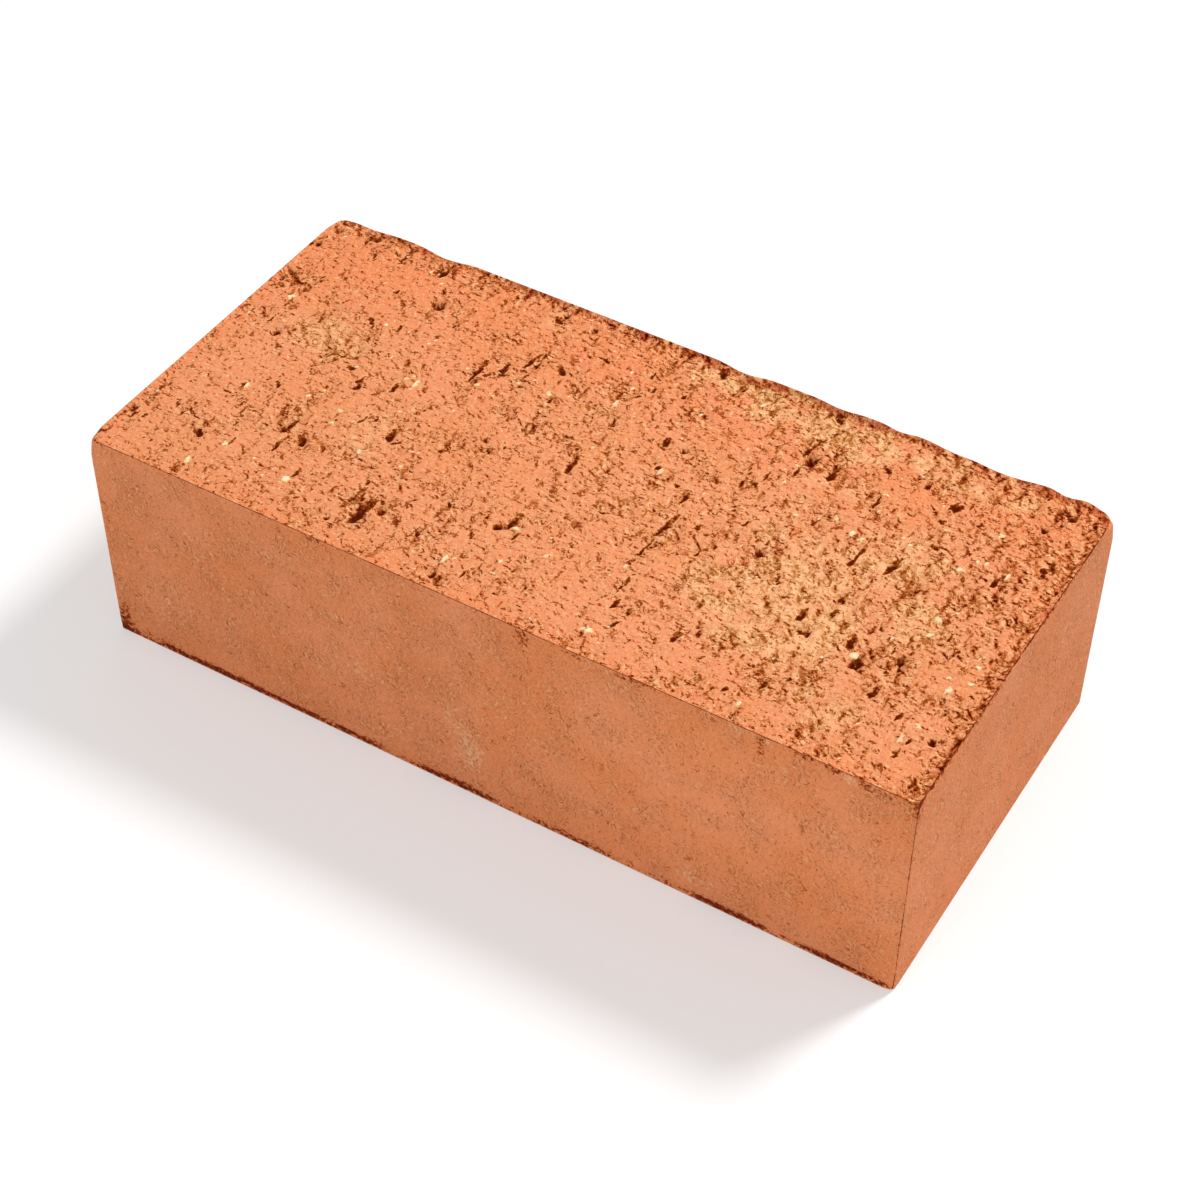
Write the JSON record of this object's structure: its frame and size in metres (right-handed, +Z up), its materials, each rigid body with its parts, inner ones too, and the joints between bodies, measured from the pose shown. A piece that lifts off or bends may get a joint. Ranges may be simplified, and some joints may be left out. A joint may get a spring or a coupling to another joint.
{
  "type": "clay brick",
  "caption": "Solid fired clay brick with smooth die-skin sides, torn wire-cut beds, shallow pits and gouges, and worn arrises.",
  "frame": {"origin": "middle of the lower bed, the face that the brick lies on", "axes": "+X along the brick's length, +Y across its width from the near side to the far side, +Z up through its height"},
  "size_m": [0.194, 0.092, 0.057],
  "materials": {
    "fired_clay": "matt orange-red fired clay, torn on the beds and smooth on the sides"
  },
  "bodies": {
    "root": {"brick": "fired_clay"}
  },
  "joints": []
}
